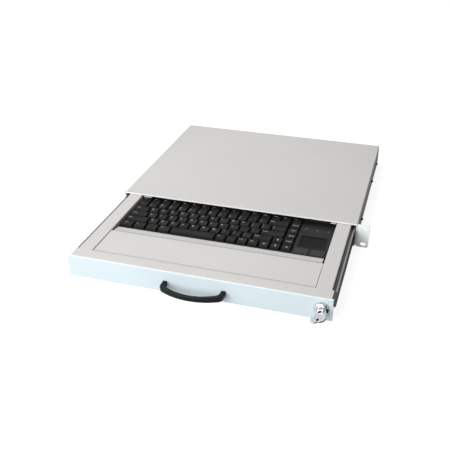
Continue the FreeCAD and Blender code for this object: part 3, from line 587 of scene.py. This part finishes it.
class KEYBOARDDRAWER_OT_stage(bpy.types.Operator):
    """Sets up the white floor, the lamps and the camera"""

    bl_idname = "keyboard_drawer.stage"
    bl_label = "Stage"

    def execute(self, context):
        look = settings().stage
        scene = context.scene
        scene.view_settings.view_transform = "Standard"
        self.floor(scene)
        self.sky(scene, look)
        self.lamp("key_lamp", place=(-0.60, -2.50, 1.20), aim=(0, -0.05, 0), size=2.4, power=look.key_power,
                  colour=(0.97, 0.99, 1))
        self.lamp("side_lamp", place=(-0.80, -0.95, 0.55), aim=(0, -0.10, 0), size=1.5, power=look.side_power)
        self.lamp("top_lamp", place=(-0.25, 0.45, 0.90), aim=(0, 0.25, 0), size=0.5, power=look.top_power)
        self.flags(scene)
        camera = bpy.data.objects.new("camera", bpy.data.cameras.new("camera"))
        camera.data.lens = look.lens
        camera.data.sensor_width = 36
        camera.location = look.camera_place
        camera.rotation_euler = (math.pi / 2 - look.camera_pitch, 0, look.camera_turn)
        scene.collection.objects.link(camera)
        scene.camera = camera
        return {"FINISHED"}

    def floor(self, scene):
        """A wide white floor just under the housing."""
        half_width = 4
        gap = 0.0002
        mesh = bmesh.new()
        bmesh.ops.create_grid(mesh, x_segments=1, y_segments=1, size=half_width)
        bmesh.ops.translate(mesh, verts=mesh.verts[:], vec=(0, 0, CAD_BOX[0][2] - gap))
        data = as_data("floor", mesh)
        data.materials.append(self.white_floor())
        floor = bpy.data.objects.new("floor", data)
        scene.collection.objects.link(floor)

    def flags(self, scene):
        """The black cards that the slides and the lock mirror: one stands at the right, three lie low."""
        lift = 0.0003
        low = CAD_BOX[0][2] + lift
        upright = Matrix.Rotation(math.radians(70), 4, "Z") @ Matrix.Rotation(math.radians(90), 4, "X")
        self.flag(scene, Matrix.Translation((0.95, -0.75, 0.25)) @ upright, width=1.0, depth=1.0)
        self.flag(scene, Matrix.Translation((0.3205, 0.05, low)), width=0.20, depth=0.90)
        self.flag(scene, Matrix.Translation((0.195, -0.33, low)), width=0.06, depth=0.08)
        self.flag(scene, Matrix.Translation((0.228, -0.275, low)), width=0.03, depth=0.05)

    @staticmethod
    def flag(scene, place, width, depth):
        """A black card that is only seen mirrored."""
        mesh = bmesh.new()
        bmesh.ops.create_grid(mesh, x_segments=1, y_segments=1, size=0.5)
        bmesh.ops.scale(mesh, vec=(width, depth, 1), verts=mesh.verts[:])
        bmesh.ops.transform(mesh, matrix=place, verts=mesh.verts[:])
        data = as_data("flag", mesh)
        black = bpy.data.materials.new("flag_black")
        black.use_nodes = True
        black.node_tree.nodes["Principled BSDF"].inputs["Base Color"].default_value = (0.01, 0.01, 0.01, 1)
        data.materials.append(black)
        card = bpy.data.objects.new("flag", data)
        card.visible_camera = False
        card.visible_diffuse = False
        card.visible_shadow = False
        scene.collection.objects.link(card)

    @staticmethod
    def seen_directly(tree):
        """One for rays from the camera and for mirror and glass rays, nought for light on things."""
        path = tree.nodes.new("ShaderNodeLightPath")
        first = tree.nodes.new("ShaderNodeMath")
        first.operation = "MAXIMUM"
        second = tree.nodes.new("ShaderNodeMath")
        second.operation = "MAXIMUM"
        tree.links.new(path.outputs["Is Camera Ray"], first.inputs[0])
        tree.links.new(path.outputs["Is Glossy Ray"], first.inputs[1])
        tree.links.new(first.outputs[0], second.inputs[0])
        tree.links.new(path.outputs["Is Transmission Ray"], second.inputs[1])
        return second.outputs[0]

    def white_floor(self):
        """Grey paper that takes the shadow, with a glow that lifts it to white where it is looked at."""
        paper_grey = 0.4
        glow_strength = 0.84
        material = bpy.data.materials.new("white_floor")
        material.use_nodes = True
        tree = material.node_tree
        tree.nodes.clear()
        paper = tree.nodes.new("ShaderNodeBsdfDiffuse")
        paper.inputs["Color"].default_value = (paper_grey, paper_grey, paper_grey, 1)
        glow = tree.nodes.new("ShaderNodeEmission")
        both = tree.nodes.new("ShaderNodeAddShader")
        strength = tree.nodes.new("ShaderNodeMath")
        strength.operation = "MULTIPLY"
        strength.inputs[1].default_value = glow_strength
        output = tree.nodes.new("ShaderNodeOutputMaterial")
        tree.links.new(self.seen_directly(tree), strength.inputs[0])
        tree.links.new(strength.outputs[0], glow.inputs["Strength"])
        tree.links.new(paper.outputs[0], both.inputs[0])
        tree.links.new(glow.outputs[0], both.inputs[1])
        tree.links.new(both.outputs[0], output.inputs["Surface"])
        return material

    def sky(self, scene, look):
        """A room that looks white, with a soft light that is stronger from the left."""
        scene.world = bpy.data.worlds.new("white_room")
        scene.world.use_nodes = True
        tree = scene.world.node_tree
        background = tree.nodes["Background"]
        direction = tree.nodes.new("ShaderNodeTexCoord")
        parts = tree.nodes.new("ShaderNodeSeparateXYZ")
        tree.links.new(direction.outputs["Generated"], parts.inputs["Vector"])
        soft = tree.nodes.new("ShaderNodeMapRange")
        soft.inputs["From Min"].default_value = -1
        soft.inputs["To Min"].default_value = look.sky_level + look.sky_lean
        soft.inputs["To Max"].default_value = look.sky_level - look.sky_lean
        tree.links.new(parts.outputs["X"], soft.inputs["Value"])
        level = tree.nodes.new("ShaderNodeMapRange")
        level.inputs["To Max"].default_value = 1
        tree.links.new(self.seen_directly(tree), level.inputs["Value"])
        tree.links.new(soft.outputs["Result"], level.inputs["To Min"])
        tree.links.new(level.outputs["Result"], background.inputs["Strength"])
        background.inputs["Color"].default_value = (1, 1, 1, 1)

    @staticmethod
    def lamp(name, place, aim, size, power, colour=(1, 1, 1)):
        """A round soft lamp that points at a place."""
        data = bpy.data.lights.new(name, "AREA")
        data.shape = "DISK"
        data.size = size
        data.energy = power
        data.color = colour
        lamp = bpy.data.objects.new(name, data)
        lamp.location = place
        lamp.rotation_euler = (Vector(aim) - Vector(place)).to_track_quat("-Z", "Y").to_euler()
        bpy.context.scene.collection.objects.link(lamp)


class KEYBOARDDRAWER_OT_sheet_metal(bpy.types.Operator):
    """Rounds the cut edges of the housing, drawer and panel, and paints them"""

    bl_idname = "keyboard_drawer.sheet_metal"
    bl_label = "Sheet metal"

    def execute(self, context):
        edge = settings().shape.sheet_edge
        # The cover and palm rest get their own coats, which carry painted highlight and painted shade.
        own_paint = {"top_cover": "cover_paint", "palm_rest": "palm_paint"}
        for node in ("top_cover", "housing_chassis", "drawer_tray", "drawer_back", "deck_frame", "palm_rest",
                     "ear_left", "ear_right", "keyboard_clip_left", "keyboard_clip_right", "front_panel"):
            piece = soften(node, edge)
            if node in own_paint:
                piece.data.materials[0] = finish(own_paint[node])
        return {"FINISHED"}


class KEYBOARDDRAWER_OT_slides(bpy.types.Operator):
    """Finishes the slide rails, channels, cages and balls"""

    bl_idname = "keyboard_drawer.slides"
    bl_label = "Slides"

    def execute(self, context):
        rolled_edge = 0.00015
        for node in ("slide_rail_left", "slide_rail_right", "slide_channel_left", "slide_channel_right",
                     "ball_cage_left", "ball_cage_right"):
            soften(node, rolled_edge)
        mesh = bmesh.new()
        for low, high in islands("slide_balls"):
            place = Matrix.Translation((low + high) / 2)
            bmesh.ops.create_icosphere(mesh, subdivisions=3, radius=(high.z - low.z) / 2, matrix=place)
        add_piece("slide_balls_round", mesh, "ball_cages", "bright_steel", ["slide_balls"], sharp=80)
        dress("lock_strike")
        return {"FINISHED"}


class KEYBOARDDRAWER_OT_fasteners(bpy.types.Operator):
    """Makes the cross-recessed screws and finishes the standoffs"""

    bl_idname = "keyboard_drawer.fasteners"
    bl_label = "Fasteners"

    def execute(self, context):
        standoff_edge = 0.0002
        for node, head, toward in (("side_screws", 0.0040, "x"), ("ear_screws", 0.0016, "x"),
                                   ("channel_screws", 0.0020, "-x"), ("panel_screws", 0.0020, "y"),
                                   ("handle_screws", 0.0024, "y")):
            mesh = bmesh.new()
            for low, high in islands(node):
                self.screw(mesh, low, high, head, toward)
            add_piece(node + "_pan", mesh, BODY_OF[node], SLOT_OF[node], [node], sharp=35)
        soften("keyboard_standoffs", standoff_edge)
        return {"FINISHED"}

    @staticmethod
    def ring(mesh, radius, height):
        """The edges of a circle round the screw's axis."""
        circle = bmesh.ops.create_circle(mesh, segments=ROUND_STEPS, radius=radius,
                                         matrix=Matrix.Translation((0, 0, height)))
        return list(dict.fromkeys(edge for vert in circle["verts"] for edge in vert.link_edges))

    @staticmethod
    def cross(mesh, arm, reach, height):
        """The edges of a cross whose arms have a half width and a reach."""
        corners = []
        for x, y in ((1, 1), (1, -1), (-1, -1), (-1, 1)):
            near, middle, far = (arm * x, reach * y), (arm * x, arm * y), (reach * x, arm * y)
            corners += [near, middle, far] if x == y else [far, middle, near]
        verts = [mesh.verts.new((x, y, height)) for x, y in corners]
        return [mesh.edges.new(pair) for pair in zip(verts, verts[1:] + verts[:1])]

    def screw(self, group, low, high, head, toward):
        """A domed head with a cross recess on its shank, set where the CAD screw is.

        Its head points away from the part's middle for x, towards it for -x, and to the back for y.
        """
        mesh = bmesh.new()
        middle = (low + high) / 2
        radius = (high.z - low.z) / 2
        length = high.x - low.x if "x" in toward else high.y - low.y
        arm = radius * 0.16
        reach = radius * 0.52
        recess_floor = head * 0.45
        shank_radius = radius * 0.5
        dome = ((0.62, 0.97), (0.82, 0.82), (0.95, 0.55), (1.0, 0.2), (1.0, 0.0))
        chain = [self.cross(mesh, arm, reach, height) for height in (recess_floor, head)]
        chain += [self.ring(mesh, radius * share, head * height) for share, height in dome]
        chain += [self.ring(mesh, shank_radius, height) for height in (0.0, head - length)]
        bmesh.ops.contextual_create(mesh, geom=chain[0])
        for first, second in zip(chain, chain[1:]):
            bmesh.ops.bridge_loops(mesh, edges=first + second)
        bmesh.ops.contextual_create(mesh, geom=chain[-1])
        bmesh.ops.recalc_face_normals(mesh, faces=mesh.faces[:])
        sign = -1 if toward.startswith("-") else 1
        if "x" in toward:
            side = sign if middle.x > 0 else -sign
            seat = (high.x - head) if side > 0 else (low.x + head)
            turn = Matrix.Rotation(math.radians(90 * side), 4, "Y")
            place = Matrix.Translation((seat, middle.y, middle.z))
        else:
            turn = Matrix.Rotation(math.radians(-90), 4, "X")
            place = Matrix.Translation((middle.x, high.y - head, middle.z))
        bmesh.ops.transform(mesh, matrix=place @ turn, verts=mesh.verts[:])
        pour(group, as_data("screw", mesh))


class KEYBOARDDRAWER_OT_handle(bpy.types.Operator):
    """Rounds the bow handle"""

    bl_idname = "keyboard_drawer.handle"
    bl_label = "Handle"

    def execute(self, context):
        soften("handle", settings().shape.handle_edge, segments=3, angle=30)
        return {"FINISHED"}


class KEYBOARDDRAWER_OT_lock(bpy.types.Operator):
    """Makes the cam lock's barrel and finishes its plug, cam, nut and key"""

    bl_idname = "keyboard_drawer.lock"
    bl_label = "Lock"

    def execute(self, context):
        low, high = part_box("lock_barrel")
        middle = (low + high) / 2
        self.barrel(low, high, middle)
        turned_angle = 35
        plug = soften("lock_plug", offset=0.00025, angle=turned_angle)
        plug.data.materials[0] = finish("key_chrome")
        soften("lock_key", offset=0.0006, segments=3, angle=turned_angle)
        # Painted shadow: black blocks on the key stand in for the keyhole's shade and the shade seen through
        # its ring hole.
        self.painted_key_shadows(middle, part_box("lock_plug")[0].y)
        soften("lock_nut", offset=0.0004, angle=turned_angle)
        soften("lock_cam", offset=0.0003, angle=turned_angle)
        dress("cam_screw")
        return {"FINISHED"}

    @staticmethod
    def barrel(low, high, middle):
        """The barrel turned about its axis: a bore, a domed collar in front and a body behind the panel."""
        bore = 0.00585
        face_radius = 0.0069
        body_radius = 0.0080
        dome_depth = 0.0036
        dome_steps = 8
        turn_steps = 72
        chamfer = 0.0003
        rim = 0.0006
        outer = (high.x - low.x) / 2
        nose = low.y
        back = high.y
        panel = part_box("front_panel")[0].y
        profile = [(bore, back), (bore, nose + chamfer), (bore + chamfer, nose), (face_radius, nose)]
        for step in range(1, dome_steps + 1):
            angle = math.radians(90 * step / dome_steps)
            radius = face_radius + (outer - face_radius) * math.sin(angle)
            profile.append((radius, nose + dome_depth * (1 - math.cos(angle))))
        profile += [(outer, panel - rim), (outer - chamfer, panel)]
        profile += [(body_radius, panel), (body_radius, back), (bore, back)]
        mesh = bmesh.new()
        verts = [mesh.verts.new((middle.x + r, y, middle.z)) for r, y in profile]
        edges = [mesh.edges.new(pair) for pair in zip(verts, verts[1:])]
        bmesh.ops.spin(mesh, geom=verts + edges, cent=(middle.x, 0, middle.z), axis=(0, 1, 0),
                       angle=2 * math.pi, steps=turn_steps, use_merge=True)
        bmesh.ops.remove_doubles(mesh, verts=mesh.verts[:], dist=WELD)
        bmesh.ops.recalc_face_normals(mesh, faces=mesh.faces[:])
        add_piece("lock_barrel_turned", mesh, "drawer", "lock_chrome", ["lock_barrel"], sharp=50)

    @staticmethod
    def painted_key_shadows(middle, face):
        """Black blocks that paint shade on the key: one on its neck where the keyhole's shadow falls, one in
        its ring hole where the shaded floor would show through.
        """
        neck_shadow_size = (0.0062, 0.0052, 0.0002)
        neck_shadow_forward = 0.0042
        neck_shadow_height = 0.0015
        hole_shadow_radius = 0.0020
        hole_shadow_depth = 0.0031
        hole_shadow_stretch = 1.6
        hole_shadow_forward = 0.0240
        key_turn = -20
        mesh = bmesh.new()
        # Painted shadow: a black block on the neck where the keyhole's shade falls.
        neck_shadow = bmesh.ops.create_cube(mesh, size=1)["verts"]
        bmesh.ops.scale(mesh, vec=neck_shadow_size, verts=neck_shadow)
        bmesh.ops.translate(mesh, vec=(0, face - neck_shadow_forward, neck_shadow_height), verts=neck_shadow)
        # Painted shadow: a black plug in the ring hole where the shaded floor would show through.
        hole_shadow = bmesh.ops.create_cone(mesh, cap_ends=True, segments=ROUND_STEPS, radius1=hole_shadow_radius,
                                        radius2=hole_shadow_radius, depth=hole_shadow_depth)["verts"]
        bmesh.ops.scale(mesh, vec=(1, hole_shadow_stretch, 1), verts=hole_shadow)
        bmesh.ops.translate(mesh, vec=(0, face - hole_shadow_forward, 0), verts=hole_shadow)
        turn = Matrix.Rotation(math.radians(key_turn), 4, "Y")
        place = Matrix.Translation((middle.x, 0, middle.z)) @ turn
        bmesh.ops.transform(mesh, matrix=place, verts=mesh.verts[:])
        marks = add_piece("lock_key_painted_shadows", mesh, "lock_turner", "black_steel")
        marks.data.materials[0] = finish("painted_shadow_black")


class KEYBOARDDRAWER_OT_keyboard_case(bpy.types.Operator):
    """Rounds the keyboard's case, touch pad, buttons and lamps"""

    bl_idname = "keyboard_drawer.keyboard_case"
    bl_label = "Keyboard case"

    def execute(self, context):
        for node, edge, segments in (("keyboard_base", 0.0006, 2), ("keyboard_bezel", 0.0004, 2),
                                     ("touchpad_surface", 0.0002, 2), ("touchpad_button_left", 0.0006, 3),
                                     ("touchpad_button_right", 0.0006, 3), ("status_lamps", 0.0003, 2)):
            soften(node, edge, segments)
        dress("key_guide_plate", "back_plate", "switch_membrane", "dome_mat", "controller_board",
              "touchpad_board")
        return {"FINISHED"}


class KEYBOARDDRAWER_OT_key_caps(bpy.types.Operator):
    """Makes the key caps with rounded corners and hollowed faces, and prints their legends"""

    bl_idname = "keyboard_drawer.key_caps"
    bl_label = "Key caps"

    def execute(self, context):
        for node, texts in LEGENDS.items():
            boxes = islands(node)
            if len(boxes) != len(texts):
                raise RuntimeError(f"{node} has {len(boxes)} keys and {len(texts)} legends")
            group = bmesh.new()
            for low, high in boxes:
                self.cap(group, low, high, node == "space_bar")
            tree = BVHTree.FromBMesh(group)
            print_mesh = bmesh.new()
            for (low, high), text in zip(boxes, texts):
                self.legend(print_mesh, tree, low, high, text, node)
            add_piece(node + "_caps", group, BODY_OF[node], SLOT_OF[node], [node], sharp=50)
            if print_mesh.verts:
                add_piece(node + "_legends", print_mesh, BODY_OF[node], "legend_ink")
            else:
                print_mesh.free()
        return {"FINISHED"}

    @staticmethod
    def cap(group, low, high, plain):
        """One cap with its stems, added to a group."""
        side_taper = 0.0013
        front_taper = 0.0017
        rear_taper = 0.0007
        rim_round = 0.0005
        dish_steps = ((0.88, 0.22), (0.72, 0.46), (0.5, 0.32))
        stem_width = 0.0052
        gap_to_next = 0.00145
        long_key = 0.04
        outer_stem_share = 0.36
        shape = settings().shape
        size = high - low
        middle = (low + high) / 2
        height = shape.cap_height
        base = high.z - height
        mesh = bmesh.new()
        bmesh.ops.create_cube(mesh, size=1)
        bmesh.ops.scale(mesh, vec=(size.x, size.y, height), verts=mesh.verts[:])
        bmesh.ops.translate(mesh, vec=(middle.x, middle.y, base + height / 2), verts=mesh.verts[:])
        upright = [e for e in mesh.edges if abs(e.verts[0].co.z - e.verts[1].co.z) > height / 2]
        bmesh.ops.bevel(mesh, geom=upright, offset=shape.cap_corner, offset_type="OFFSET", affect="EDGES",
                        segments=3, profile=0.5, material=-1)
        crown = [v for v in mesh.verts if v.co.z > base + height / 2]
        narrow = (1 - 2 * side_taper / size.x, 1 - (front_taper + rear_taper) / size.y, 1)
        bmesh.ops.scale(mesh, vec=narrow, verts=crown, space=Matrix.Translation((-middle.x, -middle.y, 0)))
        bmesh.ops.translate(mesh, vec=(0, (front_taper - rear_taper) / 2, 0), verts=crown)
        rim = [e for e in mesh.edges if all(v in crown for v in e.verts)]
        bmesh.ops.bevel(mesh, geom=rim, offset=rim_round, offset_type="OFFSET", affect="EDGES", segments=2,
                        profile=0.5, material=-1)
        above = [f for f in mesh.faces if f.calc_center_median().z > base]
        face = max(above, key=lambda f: f.normal.z * f.calc_area())
        centre = face.calc_center_median()
        for width, share in dish_steps:
            sunk = 0 if plain else -shape.cap_dish * share
            face = bmesh.ops.extrude_discrete_faces(mesh, faces=[face])["faces"][0]
            bmesh.ops.scale(mesh, vec=(width, width, 1), verts=face.verts[:],
                            space=Matrix.Translation(-centre))
            bmesh.ops.translate(mesh, vec=(0, 0, sunk), verts=face.verts[:])
        reach = (size.x + gap_to_next) * outer_stem_share
        for offset in (-reach, 0, reach) if size.x > long_key else (0,):
            stem = bmesh.ops.create_cube(mesh, size=1)["verts"]
            bmesh.ops.scale(mesh, vec=(stem_width, stem_width, base - low.z), verts=stem)
            bmesh.ops.translate(mesh, vec=(middle.x + offset, middle.y, (base + low.z) / 2), verts=stem)
        pour(group, as_data("cap", mesh))

    def legend(self, group, tree, low, high, text, node):
        """Prints a key's legend on the face of its cap."""
        if not text:
            return
        letter_size = 0.0056
        sign_size = 0.0042
        word_size = 0.0038
        left = low.x + 0.0034
        back = high.y - 0.0030
        front = low.y + 0.0042
        word_left = left - 0.0004
        word_back = back - 0.0008
        face_shift = 0.0005
        middle = Vector(((low.x + high.x) / 2, (low.y + high.y) / 2 + face_shift, high.z))
        if node == "arrow_keys":
            turn = {"up": 0, "left": 90, "down": 180, "right": 270}[text]
            self.arrow(group, tree, middle, turn)
        elif node == "navigation_keys":
            self.words(group, tree, text, middle, sign_size, "CENTER", "CENTER")
        elif " " in text:
            upper, lower = text.split()
            self.words(group, tree, upper, (left, back, high.z), sign_size, "LEFT", "TOP")
            self.words(group, tree, lower, (left, front, high.z), sign_size, "LEFT", "BOTTOM")
        elif len(text) == 1:
            self.words(group, tree, text, (left, back, high.z), letter_size, "LEFT", "TOP")
        else:
            self.words(group, tree, text, (word_left, word_back, high.z), word_size, "LEFT", "TOP")

    def words(self, group, tree, text, place, size, across, along):
        """Letters or a sign, made flat and laid on a cap."""
        curve = bpy.data.curves.new("legend", "FONT")
        curve.body = text
        curve.size = size
        curve.resolution_u = 2
        curve.align_x = across
        curve.align_y = along
        holder = bpy.data.objects.new("legend", curve)
        bpy.context.scene.collection.objects.link(holder)
        bpy.context.view_layer.update()
        flat = holder.evaluated_get(bpy.context.evaluated_depsgraph_get())
        data = bpy.data.meshes.new_from_object(flat)
        bpy.data.objects.remove(holder)
        bpy.data.curves.remove(curve)
        data.transform(Matrix.Translation(place))
        self.lay(group, tree, data)

    def arrow(self, group, tree, place, turn):
        """An arrow of a triangle and a bar, turned and laid on a cap."""
        head_radius = 0.0019
        head_shift = 0.0008
        bar_width = 0.0009
        bar_length = 0.0026
        bar_shift = -0.0014
        mesh = bmesh.new()
        bmesh.ops.create_circle(mesh, cap_ends=True, segments=3, radius=head_radius)
        bmesh.ops.translate(mesh, vec=(0, head_shift, 0), verts=mesh.verts[:])
        bar = bmesh.ops.create_grid(mesh, x_segments=1, y_segments=1, size=0.5)["verts"]
        bmesh.ops.scale(mesh, vec=(bar_width, bar_length, 1), verts=bar)
        bmesh.ops.translate(mesh, vec=(0, bar_shift, 0), verts=bar)
        turned = Matrix.Translation(place) @ Matrix.Rotation(math.radians(turn), 4, "Z")
        bmesh.ops.transform(mesh, matrix=turned, verts=mesh.verts[:])
        self.lay(group, tree, as_data("arrow", mesh))

    @staticmethod
    def lay(group, tree, data):
        """Lowers flat print on to the hollowed cap."""
        drop_height = 0.002
        ink_height = 0.00003
        down = Vector((0, 0, -1))
        for vert in data.vertices:
            hit = tree.ray_cast(vert.co + Vector((0, 0, drop_height)), down)[0]
            if hit is None:
                raise RuntimeError("a legend reaches past its key cap")
            vert.co.z = hit.z + ink_height
        pour(group, data)


class KEYBOARDDRAWER_PT_panel(bpy.types.Panel):
    """Lists the steps that dress the keyboard drawer"""

    bl_idname = "KEYBOARDDRAWER_PT_panel"
    bl_label = "Keyboard Drawer"
    bl_space_type = "VIEW_3D"
    bl_region_type = "UI"
    bl_category = "Keyboard Drawer"

    def draw(self, context):
        for step in STEPS:
            self.layout.operator(step.bl_idname)
        for group in ("finish", "shape", "stage"):
            box = self.layout.box()
            values = getattr(settings(), group)
            for name in values.bl_rna.properties.keys():
                if name not in ("rna_type", "name"):
                    box.prop(values, name)


STEPS = (
    KEYBOARDDRAWER_OT_stage,
    KEYBOARDDRAWER_OT_sheet_metal,
    KEYBOARDDRAWER_OT_slides,
    KEYBOARDDRAWER_OT_fasteners,
    KEYBOARDDRAWER_OT_handle,
    KEYBOARDDRAWER_OT_lock,
    KEYBOARDDRAWER_OT_keyboard_case,
    KEYBOARDDRAWER_OT_key_caps,
)
CLASSES = (FinishSettings, ShapeSettings, StageSettings, DrawerSettings, *STEPS, KEYBOARDDRAWER_PT_panel)


def register():
    for item in CLASSES:
        bpy.utils.register_class(item)
    bpy.types.Scene.keyboard_drawer = bpy.props.PointerProperty(type=DrawerSettings)


def unregister():
    del bpy.types.Scene.keyboard_drawer
    for item in reversed(CLASSES):
        bpy.utils.unregister_class(item)


def main():
    register()
    bpy.ops.keyboard_drawer.stage()
    bpy.ops.keyboard_drawer.sheet_metal()
    bpy.ops.keyboard_drawer.slides()
    bpy.ops.keyboard_drawer.fasteners()
    bpy.ops.keyboard_drawer.handle()
    bpy.ops.keyboard_drawer.lock()
    bpy.ops.keyboard_drawer.keyboard_case()
    bpy.ops.keyboard_drawer.key_caps()


if __name__ == "__main__":
    main()
